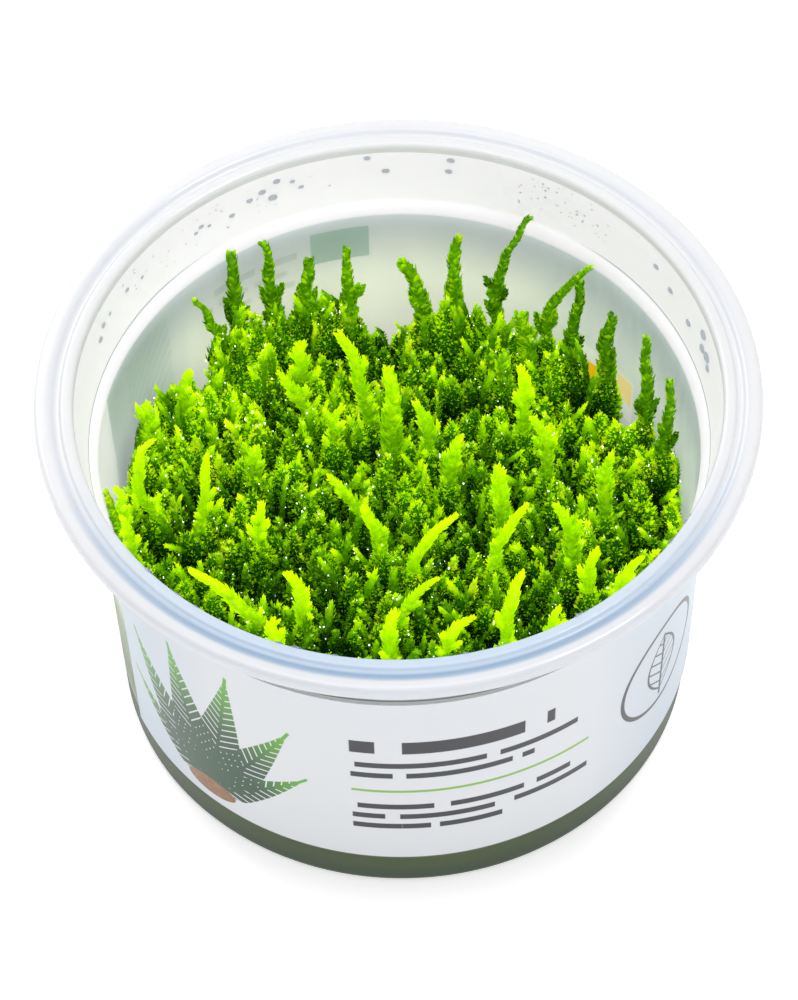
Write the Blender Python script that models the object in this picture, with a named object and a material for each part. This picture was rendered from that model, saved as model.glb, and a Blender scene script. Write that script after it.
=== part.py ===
"""A clump of aquatic moss growing on nutrient gel in a round plastic tub with a wrap label.

Metres, +Z up. The origin is the centre of the tub's base, and -Y is the front.
The named sizes below are in millimetres and are multiplied by MM where a mesh is made.
"""

import math

import bmesh
import bpy
from mathutils import Vector

MM = 0.001
GAP = 0.3

# Tub, a moulded cup with a broad brim
TUB_HEIGHT = 61.2
BRIM_RADIUS = 50.0
BRIM_INNER_RADIUS = 44.6
BRIM_THICKNESS = 1.6
BRIM_LIP = 2.0
BRIM_LIP_WIDTH = 0.8
BRIM_EDGE_ROUND = 0.9
BRIM_BEAD_ROUND = 1.0
BRIM_BEAD_BELOW_TOP = 0.1
BRIM_GROOVE_OUTSIDE = 2.9
BRIM_GROOVE_INSIDE = 3.5
BRIM_GROOVE_DEPTH = 0.6
WALL = 0.95
FLOOR = 1.0
BASE_CORNER = 1.8
FLOOR_CORNER = 1.0
BASE_RADIUS = 41.5
SHOULDER_HEIGHT = 49.6
SHOULDER_RADIUS = 42.85
SHOULDER_STEP = 1.3
TUB_SEGMENTS = 60

# Wrap label, with a bare strip of wall between its two ends. Its start and length are
# counted in the tub's segments, anticlockwise from +X
LABEL_LOW = 7.9
LABEL_HIGH = 47.9
LABEL_THICKNESS = 0.2
LABEL_START_SEGMENT = 34
LABEL_SEGMENTS = 54

# Nutrient gel in the bottom of the tub
GEL_DEPTH = 8.2
GEL_CHAMFER = 1.2

# Moss mat: its top is a tilted plane with low tufts, and a bushy mound under each standing
# shoot, highest along the back
MAT_REACH = 40.0
MAT_CENTRE_HEIGHT = 31.5
MAT_RISE_TO_FRONT = 2.0
MAT_RISE_TO_LEFT = 2.0
MAT_GRID = 34
MAT_EDGE_DROP = 3.0
MAT_EDGE_ROUND = 1.5
TUFT_HEIGHT = 2.8
TUFT_SPREAD = 2.3
TUFT_COUNT = 64
TUFT_REACH = 39.0
TUFT_CLEAR_OF_SHOOT = 4.5
BACK_MOUND_HEIGHT = 6.0
MIDDLE_MOUND_HEIGHT = 3.5
FRONT_MOUND_HEIGHT = 2.6
MOUND_SPREAD = 2.8
GOLDEN_ANGLE = math.pi * (3 - math.sqrt(5))

# Places where the mat stands back from the wall: bearing and half width in degrees, depth.
# The power draws the mesh back near its edge alone
HOLLOWS = [(139, 5, 4.5), (92.5, 6, 5.0), (71, 4, 3.0), (60, 4, 4.5), (29.5, 4.5, 5.0), (17, 3, 3.0)]
HOLLOW_FALL = 5

# Standing shoots, each x, y of the foot, then x, y, z of the tip, then sideways bow and width
BACK_SHOOTS = [
    (-26, 28, -29, 28.5, 47, 0, 1.8),
    (-23, 30.5, -23.5, 33, 52, 0, 2.5),
    (-18, 32.5, -19, 34, 53, 0.5, 2.3),
    (-13, 34.5, -12.5, 35.5, 47, 0, 2.4),
    (-7, 34, -7, 36, 49, 0.5, 2.1),
    (4, 34, 1, 35.5, 46, 0, 2.7),
    (8.5, 34, 9.5, 36, 51, -0.5, 2.5),
    (15, 33, 20, 35, 56, -1.5, 2.0),
    (22, 29.5, 28.5, 29.5, 51, -1, 1.9),
    (25.5, 26.5, 26.5, 27, 50.5, 0.5, 2.2),
    (30.5, 22.5, 31, 24, 46.5, -0.5, 2.7),
    (19, 27, 18, 27, 43, 0, 3.0),
    (35.5, 14.5, 35.5, 18, 49, 0, 2.4),
    (38, 8, 38.5, 11.5, 47, 0.5, 2.0),
    (15.5, 22, 15.5, 23, 39.5, 0, 2.4),
]
MIDDLE_SHOOTS = [
    (-4, 16, -8, 17, 53.5, -1.5, 2.6),
    (-1, 10, -1, 12, 51, 0, 3.2),
    (4, 10, 2.5, 10, 45.5, 0.5, 2.3),
    (18, 13.5, 17.5, 14, 48, 0, 2.4),
    (21, 5, 19, 5, 48, 0.5, 2.2),
    (14.5, -3, 13.5, -3, 47, 0, 2.5),
    (29, -2, 29.5, -2, 48, -0.5, 2.2),
    (24, -10.5, 21, -10.5, 48, 0, 2.4),
    (-5, -3, -10, -2, 44.5, -2, 2.0),
    (-3, -9, -5, -9, 46, -0.5, 2.2),
    (-14, 24, -14, 24.5, 41, 0, 2.8),
    (-13, 16, -17, 16, 45.5, -1, 2.0),
    (-31, 17, -29.5, 17, 45, 0, 2.1),
    (-21, 5, -20.5, 5, 42, 0, 2.6),
    (-9.5, 11.5, -8, 11.5, 43.5, 0, 1.8),
    (7, 4, 8.5, 4, 44, 0, 2.6),
    (-36, 12, -35.5, 13, 43.5, 0, 2.2),
]
FRONT_SHOOTS = [
    (-34.5, -2, -33.5, -3, 55.5, -5, 2.0),
    (-28, -3, -26.5, -3, 52, 0.5, 1.9),
    (-20, -21, -29, -20, 48, -4, 2.4),
    (1.5, -12, 8, -11, 47, 0, 2.2),
    (13, -11, 17.5, -11, 49, 0.5, 2.2),
    (-1, -21.5, 5, -21.5, 46.5, 1, 1.9),
    (14, -25, 16.5, -24.5, 52, 0, 2.3),
    (5, -27, 9.5, -27, 45, 0.5, 2.2),
    (-14, -21, -15.5, -21, 48, 0, 2.4),
    (20, -25, 21.5, -25, 44, 0, 2.0),
    (30, -17, 33, -17, 44, 0, 2.2),
    (-39, -4, -39.5, -4, 46, 0, 1.9),
    (-38, -9, -39, -9, 46, 0, 1.9),
    (-2, -26.5, -1.5, -26, 45, 0, 2.6),
    (-18, -26, -18, -25.5, 43, 0, 2.4),
    (26, -15, 27, -15, 43.5, 0, 2.2),
    (-20, -7, -19.5, -7, 45.5, 0, 2.0),
    (-29, -27, -28, -27, 45, 0, 2.2),
    (-7, -34, -6, -34, 45, 0, 2.3),
    (12, -34, 12.5, -34, 45, 0, 2.2),
    (28, -27, 27, -27, 44, 0, 2.2),
]
SHOOT_SIDES = 6
SHOOT_FLATNESS = 0.6
SHOOT_TIP_SHARE = 0.5
SHOOT_TIP_START = 0.94
SHOOT_RING_SPACING = 3.5
SHOOT_RISE_SHARE = 0.6

# Linear colours
TUB_WHITE = (0.88, 0.91, 0.92)
LABEL_WHITE = (0.90, 0.91, 0.92)
GEL_GREEN = (0.22, 0.30, 0.16)
MAT_GREEN = (0.07, 0.20, 0.005)
BACK_GREEN = (0.10, 0.25, 0.005)
MIDDLE_GREEN = (0.25, 0.50, 0.005)
FRONT_GREEN = (0.48, 0.80, 0.005)


def clear_scene():
    for old in list(bpy.data.objects):
        bpy.data.objects.remove(old, do_unlink=True)


def material(name, colour, roughness, metallic=0.0):
    made = bpy.data.materials.new(name)
    made.use_nodes = True
    shader = made.node_tree.nodes["Principled BSDF"]
    shader.inputs["Base Color"].default_value = (*colour, 1.0)
    shader.inputs["Roughness"].default_value = roughness
    shader.inputs["Metallic"].default_value = metallic
    return made


def add_object(name, bm, finish, smooth_below=40.0):
    """Scales the millimetre mesh to metres and links it as one object with its own material."""
    bmesh.ops.scale(bm, vec=(MM, MM, MM), verts=bm.verts)
    bmesh.ops.recalc_face_normals(bm, faces=bm.faces)
    mesh = bpy.data.meshes.new(name)
    bm.to_mesh(mesh)
    bm.free()
    mesh.shade_smooth()
    mesh.set_sharp_from_angle(angle=math.radians(smooth_below))
    mesh.materials.append(finish)
    bpy.context.scene.collection.objects.link(bpy.data.objects.new(name, mesh))


def arc(centre, radius, start, end, steps):
    """Points on an arc in the radius and height plane, with both ends."""
    points = []
    for step in range(steps + 1):
        turn = math.radians(start + (end - start) * step / steps)
        points.append((centre[0] + radius * math.cos(turn), centre[1] + radius * math.sin(turn)))
    return points


def outer_radius(height):
    """Outside of the tub's tapered wall below the shoulder."""
    share = (height - BASE_CORNER) / (SHOULDER_HEIGHT - BASE_CORNER)
    return BASE_RADIUS + (SHOULDER_RADIUS - BASE_RADIUS) * share


def inner_radius(height):
    return outer_radius(height) - WALL


def turned(profile, closed_section=False, segments=TUB_SEGMENTS, first_segment=0):
    """Spins a profile about +Z: a chain that ends on the axis, or a closed section part of the way."""
    bm = bmesh.new()
    start = 2 * math.pi * first_segment / TUB_SEGMENTS
    corners = []
    for radius, height in profile:
        corners.append(bm.verts.new((radius * math.cos(start), radius * math.sin(start), height)))
    if closed_section:
        section = bm.faces.new(corners)
        geometry = corners + list(section.edges) + [section]
    else:
        edges = [bm.edges.new(pair) for pair in zip(corners, corners[1:])]
        geometry = corners + edges
    bmesh.ops.spin(
        bm, geom=geometry, cent=(0, 0, 0), axis=(0, 0, 1),
        angle=2 * math.pi * segments / TUB_SEGMENTS, steps=segments, use_duplicate=False,
    )
    bmesh.ops.remove_doubles(bm, verts=bm.verts, dist=0.001)
    return bm


def tub():
    """Cup from the middle of its base, up outside, over the brim and down inside to its floor."""
    shoulder_top = SHOULDER_HEIGHT + SHOULDER_STEP
    upper_low = SHOULDER_RADIUS + SHOULDER_STEP
    upper_high = BRIM_INNER_RADIUS + WALL
    under_brim = TUB_HEIGHT - BRIM_THICKNESS
    lip = TUB_HEIGHT - BRIM_LIP
    lip_inside = BRIM_RADIUS - BRIM_LIP_WIDTH
    edge_centre = (BRIM_RADIUS - BRIM_EDGE_ROUND, TUB_HEIGHT - BRIM_EDGE_ROUND)
    groove = TUB_HEIGHT - BRIM_GROOVE_DEPTH
    bead_height = TUB_HEIGHT - BRIM_BEAD_BELOW_TOP - BRIM_BEAD_ROUND
    bead_centre = (BRIM_INNER_RADIUS + BRIM_BEAD_ROUND, bead_height)
    ledge = SHOULDER_HEIGHT - WALL / 2
    profile = [(0, 0)]
    profile += arc((BASE_RADIUS - BASE_CORNER, BASE_CORNER), BASE_CORNER, -90, 0, 3)
    profile += [(SHOULDER_RADIUS, SHOULDER_HEIGHT), (upper_low, shoulder_top)]
    profile += [(upper_high, under_brim - BRIM_LIP_WIDTH), (upper_high + BRIM_LIP_WIDTH, under_brim)]
    profile += [(lip_inside, under_brim), (lip_inside, lip), (BRIM_RADIUS, lip)]
    profile += arc(edge_centre, BRIM_EDGE_ROUND, 0, 90, 3)
    profile += [(BRIM_RADIUS - BRIM_GROOVE_OUTSIDE, groove), (BRIM_RADIUS - BRIM_GROOVE_INSIDE, groove)]
    profile += arc(bead_centre, BRIM_BEAD_ROUND, 90, 180, 3)
    profile += [(upper_low - WALL, shoulder_top), (inner_radius(ledge), ledge)]
    profile += [(inner_radius(FLOOR + FLOOR_CORNER), FLOOR + FLOOR_CORNER)]
    profile += [(inner_radius(FLOOR) - FLOOR_CORNER, FLOOR), (0, FLOOR)]
    add_object("tub", turned(profile), material("tub_plastic", TUB_WHITE, 0.25))


def wrap_label():
    low_inside = outer_radius(LABEL_LOW) + GAP
    high_inside = outer_radius(LABEL_HIGH) + GAP
    section = [
        (low_inside, LABEL_LOW),
        (low_inside + LABEL_THICKNESS, LABEL_LOW),
        (high_inside + LABEL_THICKNESS, LABEL_HIGH),
        (high_inside, LABEL_HIGH),
    ]
    bm = turned(section, True, LABEL_SEGMENTS, LABEL_START_SEGMENT)
    add_object("wrap_label", bm, material("label_film", LABEL_WHITE, 0.35))


def gel_top():
    return FLOOR + GAP + GEL_DEPTH


def nutrient_gel():
    low = FLOOR + GAP
    foot = inner_radius(FLOOR) - FLOOR_CORNER - GAP
    profile = [
        (0, low),
        (foot, low),
        (inner_radius(low + GEL_CHAMFER) - GAP, low + GEL_CHAMFER),
        (inner_radius(gel_top()) - GAP, gel_top()),
        (0, gel_top()),
    ]
    add_object("nutrient_gel", turned(profile), material("gel", GEL_GREEN, 0.15))


def all_shoots():
    return BACK_SHOOTS + MIDDLE_SHOOTS + FRONT_SHOOTS


def tuft_places():
    """Centres of the low tufts, spread like the seeds of a sunflower between the standing shoots."""
    places = []
    for index in range(TUFT_COUNT):
        radius = TUFT_REACH * math.sqrt((index + 0.5) / TUFT_COUNT)
        x = radius * math.cos(index * GOLDEN_ANGLE)
        y = radius * math.sin(index * GOLDEN_ANGLE)
        nearest = min(math.dist((x, y), shoot[:2]) for shoot in all_shoots())
        if nearest > TUFT_CLEAR_OF_SHOOT:
            places.append((x, y, TUFT_HEIGHT * (0.75 + 0.25 * math.sin(5 * index))))
    return places


TUFTS = tuft_places()
MAT_RADIUS = inner_radius(MAT_CENTRE_HEIGHT) - GAP


def mat_edge(bearing):
    """Radius of the mat's outline at a bearing in radians."""
    edge = MAT_RADIUS
    for middle, half_width, depth in HOLLOWS:
        away = math.degrees(math.remainder(bearing - math.radians(middle), 2 * math.pi))
        edge -= depth * math.exp(-((away / half_width) ** 2))
    return edge


def mat_height(x, y):
    """Height of the mat's top above the tub's base, rounded off where it stands back from the wall."""
    height = MAT_CENTRE_HEIGHT - (MAT_RISE_TO_FRONT * y + MAT_RISE_TO_LEFT * x) / MAT_REACH
    bumps = [0.0]
    for tuft_x, tuft_y, tall in TUFTS:
        away = math.dist((x, y), (tuft_x, tuft_y)) / TUFT_SPREAD
        bumps.append(tall * math.exp(-(away**2) / 2))
    for places, tall in (
        (BACK_SHOOTS, BACK_MOUND_HEIGHT),
        (MIDDLE_SHOOTS, MIDDLE_MOUND_HEIGHT),
        (FRONT_SHOOTS, FRONT_MOUND_HEIGHT),
    ):
        for place in places:
            away = math.dist((x, y), place[:2]) / MOUND_SPREAD
            bumps.append(tall * math.exp(-(away**2) / 2))
    inside = mat_edge(math.atan2(y, x)) - math.hypot(x, y)
    return height + max(bumps) - MAT_EDGE_DROP * math.exp(-max(inside, 0.0) / MAT_EDGE_ROUND)


def square_to_disc(u, v):
    """Maps a point of the square from -1 to 1 to a signed radius and a bearing in the unit disc."""
    if abs(u) < 1e-9 and abs(v) < 1e-9:
        return 0.0, 0.0
    if abs(u) > abs(v):
        return u, math.pi / 4 * v / u
    return v, math.pi / 2 - math.pi / 4 * u / v


def moss_mat():
    """Lumpy mat: a bent grid for its top, drawn down at the rim to a flat underside on the gel."""
    bm = bmesh.new()
    bmesh.ops.create_grid(bm, x_segments=MAT_GRID, y_segments=MAT_GRID, size=1.0)
    for vert in bm.verts:
        share, bearing = square_to_disc(vert.co.x, vert.co.y)
        if share < 0:
            share, bearing = -share, bearing + math.pi
        radius = share * MAT_RADIUS - share**HOLLOW_FALL * (MAT_RADIUS - mat_edge(bearing))
        x = radius * math.cos(bearing)
        y = radius * math.sin(bearing)
        vert.co = (x, y, mat_height(x, y))
    border = [edge for edge in bm.edges if edge.is_boundary]
    skirt = bmesh.ops.extrude_edge_only(bm, edges=border)["geom"]
    low = gel_top() + GAP
    narrower = (inner_radius(low) - GAP) / MAT_RADIUS
    for vert in skirt:
        if isinstance(vert, bmesh.types.BMVert):
            vert.co = (vert.co.x * narrower, vert.co.y * narrower, low)
    underside = [edge for edge in bm.edges if edge.is_boundary]
    bmesh.ops.edgeloop_fill(bm, edges=underside)
    add_object("moss_mat", bm, material("mat_moss", MAT_GREEN, 0.6))


def foot_height(x, y, reach):
    """Lowest height at which a foot that reaches this far clears the mat all round."""
    highest = mat_height(x, y)
    for step in range(12):
        turn = 2 * math.pi * step / 12
        highest = max(highest, mat_height(x + reach * math.cos(turn), y + reach * math.sin(turn)))
    return highest + GAP


def shoot(name, place, finish):
    """A flattened, tapering stem of moss that rises from its foot and bends to its tip."""
    x, y, tip_x, tip_y, tip_z, bow, width = place
    foot = Vector((x, y, foot_height(x, y, width / 2)))
    tip = Vector((tip_x, tip_y, tip_z))
    bend = foot + Vector((bow, 0, SHOOT_RISE_SHARE * (tip.z - foot.z)))
    rings = max(4, round((tip.z - foot.z) / SHOOT_RING_SPACING))
    bm = bmesh.new()
    last = None
    for ring in range(rings + 1):
        t = SHOOT_TIP_START * ring / rings
        centre = (1 - t) ** 2 * foot + 2 * t * (1 - t) * bend + t**2 * tip
        along = (2 * (1 - t) * (bend - foot) + 2 * t * (tip - bend)).normalized()
        if ring == 0:
            along = Vector((0, 0, 1))
        across = Vector((0, 1, 0)).cross(along).normalized()
        through = along.cross(across)
        half = width / 2 * (1 - (1 - SHOOT_TIP_SHARE) * t**3)
        corners = []
        for side in range(SHOOT_SIDES):
            turn = 2 * math.pi * side / SHOOT_SIDES
            offset = across * math.cos(turn) + through * math.sin(turn) * SHOOT_FLATNESS
            corners.append(bm.verts.new(centre + half * offset))
        if last is None:
            bm.faces.new(reversed(corners))
        else:
            for side in range(SHOOT_SIDES):
                after = (side + 1) % SHOOT_SIDES
                bm.faces.new((last[side], last[after], corners[after], corners[side]))
        last = corners
    peak = bm.verts.new(tip)
    for side in range(SHOOT_SIDES):
        bm.faces.new((last[side], last[(side + 1) % SHOOT_SIDES], peak))
    add_object(name, bm, finish)


def shoots(row, places, colour):
    for number, place in enumerate(places, start=1):
        name = f"shoot_{row}_{number:02d}"
        shoot(name, place, material(name, colour, 0.5))


def main():
    clear_scene()
    tub()
    wrap_label()
    nutrient_gel()
    moss_mat()
    shoots("back", BACK_SHOOTS, BACK_GREEN)
    shoots("middle", MIDDLE_SHOOTS, MIDDLE_GREEN)
    shoots("front", FRONT_SHOOTS, FRONT_GREEN)


main()
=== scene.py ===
"""The looks of a clump of leafy moss that grows in a round tub of frosted plastic.

The tub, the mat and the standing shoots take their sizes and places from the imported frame. Each
operator makes one piece, or one group of like pieces, and main() calls them in order.
"""

import math
import random
from collections import namedtuple

import bmesh
import bpy
from bpy.props import FloatProperty, FloatVectorProperty, IntProperty, PointerProperty
from mathutils import Matrix, Vector, noise
from mathutils.bvhtree import BVHTree
from mathutils.kdtree import KDTree


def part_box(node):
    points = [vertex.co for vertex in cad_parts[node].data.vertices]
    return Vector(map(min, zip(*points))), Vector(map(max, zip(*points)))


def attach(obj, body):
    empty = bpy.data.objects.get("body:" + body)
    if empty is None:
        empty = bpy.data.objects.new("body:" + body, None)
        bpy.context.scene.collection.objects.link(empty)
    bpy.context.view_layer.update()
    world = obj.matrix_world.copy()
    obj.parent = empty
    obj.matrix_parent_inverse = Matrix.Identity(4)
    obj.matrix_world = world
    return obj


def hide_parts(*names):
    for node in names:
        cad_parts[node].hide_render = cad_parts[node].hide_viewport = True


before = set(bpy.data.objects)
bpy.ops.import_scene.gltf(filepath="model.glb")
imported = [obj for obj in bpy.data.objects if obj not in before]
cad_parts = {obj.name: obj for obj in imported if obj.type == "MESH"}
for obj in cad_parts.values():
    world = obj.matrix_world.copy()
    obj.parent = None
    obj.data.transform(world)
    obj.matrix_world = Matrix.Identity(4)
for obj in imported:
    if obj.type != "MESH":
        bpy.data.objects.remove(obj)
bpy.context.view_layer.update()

bl_info = {
    "name": "Moss clump in a tub",
    "version": (1, 0, 0),
    "blender": (4, 5, 0),
    "location": "View3D > Sidebar > Moss",
    "description": "Leafy moss on a gel in a frosted tub with a wrap label",
    "category": "Add Mesh",
}

MM = 0.001
GOLDEN_ANGLE = math.pi * (3 - math.sqrt(5))

# The tub's height and brim come from the frame, and the rest of its section is set from them
TUB_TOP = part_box("tub")[1].z
BRIM_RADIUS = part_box("tub")[1].x
BASE_RADIUS = BRIM_RADIUS - 8.5 * MM
SHOULDER_RADIUS = BRIM_RADIUS - 7.15 * MM
SHOULDER_HEIGHT = TUB_TOP - 11.6 * MM
BASE_CORNER = 1.8 * MM
WALL = 0.95 * MM
ROUND_STEPS = 5

# Radius and height of the ledge inside the tub, and of the inner wall's upper edge below the brim
LEDGE = Vector((BRIM_RADIUS - 6.8 * MM, SHOULDER_HEIGHT + 1.3 * MM))
BEAD_FOOT = Vector((BRIM_RADIUS - 5.45 * MM, TUB_TOP - 1.6 * MM))

LABEL_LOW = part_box("wrap_label")[0].z
LABEL_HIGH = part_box("wrap_label")[1].z
LABEL_START = math.radians(204)
LABEL_TURN = math.radians(324)
LABEL_THICKNESS = 0.2 * MM
LABEL_GAP = 0.3 * MM

# The mat: how far its columns and its edge can reach, and how its shell is divided
MAT_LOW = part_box("moss_mat")[0].z
MAT_REACH = 41.0 * MM
MAT_EDGE = 41.5 * MM
MAT_RINGS = 84
MAT_SPOKES = 360

# Its columns: how far one can matter, and the height from which one counts as tall
COLUMN_SEARCH = 4.0 * MM
TALL_COLUMN = 35.5 * MM

# The room that leafy stems leave at the wall, and the length of a tooth on a standing shoot
LEAF_ROOM = 0.9 * MM
TOOTH_LENGTH = 3.4 * MM

# Camera: lens and place read back from the brim, the ledge and the base in the photograph
CAMERA_LENS = 144.0
CAMERA_SENSOR = 36.0
CAMERA_DOWN = math.radians(53.25)
CAMERA_ROLL = math.radians(1.54)
CAMERA_PLACE = Vector((-0.264, -339.87, 490.83)) * MM

LEAF_NODES = {
    row: sorted(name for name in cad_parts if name.startswith(f"shoot_{row}_"))
    for row in ("back", "middle", "front")
}


def colour_setting(name, description, default):
    return FloatVectorProperty(name=name, description=description, subtype="COLOR", default=default)


def length_setting(name, description, default):
    return FloatProperty(name=name, description=description, unit="LENGTH", default=default)


class MossTubSettings(bpy.types.PropertyGroup):
    """The tub, its label and the gel."""

    segments: IntProperty(name="Segments", description="Faces round the tub", default=240, min=24)
    plastic: colour_setting("Plastic", "Colour of the bare plastic", (0.78, 0.78, 0.79))
    # Upper wall is painted light: a brighter copy of the plastic on the inner wall above the label
    upper: colour_setting("Upper wall", "Inner wall above the label", (0.93, 0.90, 0.94))
    # Bead and Groove are painted cool shade on the brim, strongest at its front
    bead: colour_setting("Bead", "Cool tint of the brim's front bead", (0.62, 0.71, 0.82))
    groove: colour_setting("Groove", "Cool tint of the brim's thin groove", (0.34, 0.46, 0.60))
    shaded: colour_setting("Shaded wall", "Inner wall just below the label's top edge", (0.66, 0.68, 0.74))
    # Side wall is painted shade on the inner wall at the far left
    sides: colour_setting("Side wall", "Inner wall at the far left, behind the print", (0.62, 0.67, 0.72))
    lit: colour_setting("Lit wall", "Inner wall where moss light tints it", (0.92, 0.91, 0.84))
    band: colour_setting("Gel band", "Wall below the label, with the gel behind it", (0.048, 0.08, 0.02))
    film: colour_setting("Label film", "White of the label", (0.59, 0.605, 0.63))
    ink: colour_setting("Ink", "Dark grey of the printed marks", (0.02, 0.02, 0.024))
    frond: colour_setting("Printed fronds", "Green of the printed fronds", (0.003, 0.05, 0.013))
    water: colour_setting("Water", "Tint of the drops on the plastic", (0.55, 0.62, 0.68))


class MossPlantSettings(bpy.types.PropertyGroup):
    """The living moss."""

    columns: IntProperty(name="Columns", description="Bushy columns of the mat", default=1000, min=10)
    column_radius: length_setting("Column radius", "Radius of a bushy column", 1.6 * MM)
    column_depth: length_setting("Column depth", "Deepest gap between the columns", 6.5 * MM)
    leaf_density: FloatProperty(
        name="Leaf density", description="Small leaves on each square millimetre of the mat", default=7.5
    )
    leaf_length: length_setting("Leaf length", "Length of a small leaf", 0.74 * MM)
    leaf_spacing: length_setting("Leaf spacing", "Stem from leaf to leaf on a shoot", 0.13 * MM)
    shade: colour_setting("Shade green", "Colour deep in the moss", (0.008, 0.045, 0.0005))
    leaf: colour_setting("Leaf green", "Colour of grown leaves", (0.14, 0.42, 0.002))
    young: colour_setting("Young green", "Colour of younger leaves", (0.52, 0.82, 0.002))
    tip: colour_setting("Tip green", "Colour of the youngest tips", (0.80, 0.95, 0.001))


def written(operation, reflected=False):
    """A method for a sum that is written with its sign, with its sides changed over where reflected."""

    def method(self, other):
        values = (other, self) if reflected else (self, other)
        return self.graph.maths(operation, *values)

    return method


class Socket:
    """A node's output, on which sums are written as they are on numbers."""

    __add__ = written("ADD")
    __radd__ = written("ADD", reflected=True)
    __sub__ = written("SUBTRACT")
    __rsub__ = written("SUBTRACT", reflected=True)
    __mul__ = written("MULTIPLY")
    __rmul__ = written("MULTIPLY", reflected=True)
    __truediv__ = written("DIVIDE")

    def __init__(self, graph, socket):
        self.graph = graph
        self.socket = socket

    def __abs__(self):
        return self.graph.maths("ABSOLUTE", self)


class Graph:
    """A node tree, of a material or of geometry, that is built by writing expressions."""

    def __init__(self, tree):
        self.tree = tree
        tree.nodes.clear()

    def node(self, kind, inputs=None, output=0, **settings):
        """Adds a node: its settings are set first, then the values or links of its sockets."""
        new = self.tree.nodes.new(kind)
        for name, value in settings.items():
            if name == "stops":
                elements = new.color_ramp.elements
                for number, (place, colour) in enumerate(value):
                    stop = elements[number] if number < 2 else elements.new(place)
                    stop.position = place
                    stop.color = (*colour, 1)
            else:
                setattr(new, name, value)
        for key, value in (inputs or {}).items():
            socket = new.inputs[key]
            for source in value if isinstance(value, list) else [value]:
                if isinstance(source, Socket):
                    self.tree.links.new(source.socket, socket)
                elif socket.type == "RGBA":
                    socket.default_value = (*source, 1)
                else:
                    socket.default_value = source
        return Socket(self, new.outputs[output])

    def maths(self, operation, *values):
        """A Math node, or a Vector Math node where a value is a vector."""
        vectors = [value for value in values if self.is_vector(value)]
        if not vectors:
            return self.node("ShaderNodeMath", dict(enumerate(values)), operation=operation)
        if operation == "MULTIPLY" and len(vectors) == 1:
            factor = next(value for value in values if value is not vectors[0])
            return self.vector("SCALE", {"Vector": vectors[0], "Scale": factor})
        return self.vector(operation, dict(enumerate(values)))

    @staticmethod
    def is_vector(value):
        return value.socket.type == "VECTOR" if isinstance(value, Socket) else isinstance(value, tuple)

    def vector(self, operation, inputs, output=0):
        return self.node("ShaderNodeVectorMath", inputs, output, operation=operation)

    def combined(self, x, y, z=0.0):
        return self.node("ShaderNodeCombineXYZ", {0: x, 1: y, 2: z})

    def length(self, x, y):
        """The distance of a flat place from zero."""
        return self.vector("LENGTH", {0: self.combined(x, y)}, "Value")

    def step(self, value, low, high):
        """0 below low and 1 above high, with a smooth change between them."""
        inputs = {"Value": value, "From Min": low, "From Max": high}
        return self.node("ShaderNodeMapRange", inputs, interpolation_type="SMOOTHSTEP")

    def between(self, value, low, high, soft):
        """1 from low to high and 0 outside them."""
        return self.step(value, low - soft, low + soft) * (1 - self.step(value, high - soft, high + soft))

    def any_of(self, first, *others):
        """The highest of some masks."""
        for other in others:
            first = self.maths("MAXIMUM", first, other)
        return first

    def blend(self, mask, under, over):
        """The colour under the mask, and the colour over it where the mask is 1."""
        return self.node("ShaderNodeMix", {0: mask, 6: under, 7: over}, 2, data_type="RGBA")

    def layers(self, colour, *layers):
        """The colour with others laid over it one by one, each as (mask, colour)."""
        for mask, over in layers:
            colour = self.blend(mask, colour, over)
        return colour

    def ramp(self, value, *stops):
        """A colour chosen by the value, from stops of (place, colour)."""
        return self.node("ShaderNodeValToRGB", {"Fac": value}, stops=stops)

    def noise(self, place, scale, detail=2.0):
        return self.node("ShaderNodeTexNoise", {"Vector": place, "Scale": scale, "Detail": detail})

    def attribute(self, name):
        return self.node("ShaderNodeAttribute", output="Fac", attribute_name=name)

    def place(self):
        """The object's own coordinates."""
        return self.node("ShaderNodeTexCoord", output="Object")

    def parts(self, vector):
        """The x, y and z of a vector."""
        outputs = self.node("ShaderNodeSeparateXYZ", {0: vector}).socket.node.outputs
        return [Socket(self, output) for output in outputs]

    def bump(self, height, distance, strength=1.0):
        return self.node("ShaderNodeBump", {"Height": height, "Distance": distance, "Strength": strength})

    def gloss(self, colour, roughness, more):
        """A Principled shader of a colour and a roughness, with more of its inputs."""
        return self.node("ShaderNodeBsdfPrincipled", {"Base Color": colour, "Roughness": roughness, **more})

    def half_clear(self, solid, colour):
        """The shader with half of the light let through in a colour."""
        through = self.node("ShaderNodeBsdfTranslucent", {"Color": colour})
        return self.node("ShaderNodeMixShader", {0: 0.5, 1: solid, 2: through})

    def field(self, name, kind="FLOAT"):
        return self.node("GeometryNodeInputNamedAttribute", {"Name": name}, data_type=kind)

    def any_number(self, low, high, seed):
        return self.node("FunctionNodeRandomValue", {2: low, 3: high, "Seed": seed}, 1, data_type="FLOAT")

    def any_vector(self, reach, seed):
        inputs = {0: (-reach, -reach, -reach), 1: (reach, reach, reach), "Seed": seed}
        return self.node("FunctionNodeRandomValue", inputs, data_type="FLOAT_VECTOR")

    def keep(self, geometry, name, value, kind="FLOAT"):
        """Keeps a value as an attribute of the geometry's points."""
        inputs = {"Geometry": geometry, "Name": name, "Value": value}
        return self.node("GeometryNodeStoreNamedAttribute", inputs, data_type=kind)

    def moved(self, points, offset):
        return self.node("GeometryNodeSetPosition", {"Geometry": points, "Offset": offset})

    def spaced(self, line, length):
        """The line with its points at even lengths."""
        return self.node("GeometryNodeResampleCurve", {"Curve": line, "Length": length}, mode="LENGTH")

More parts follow.
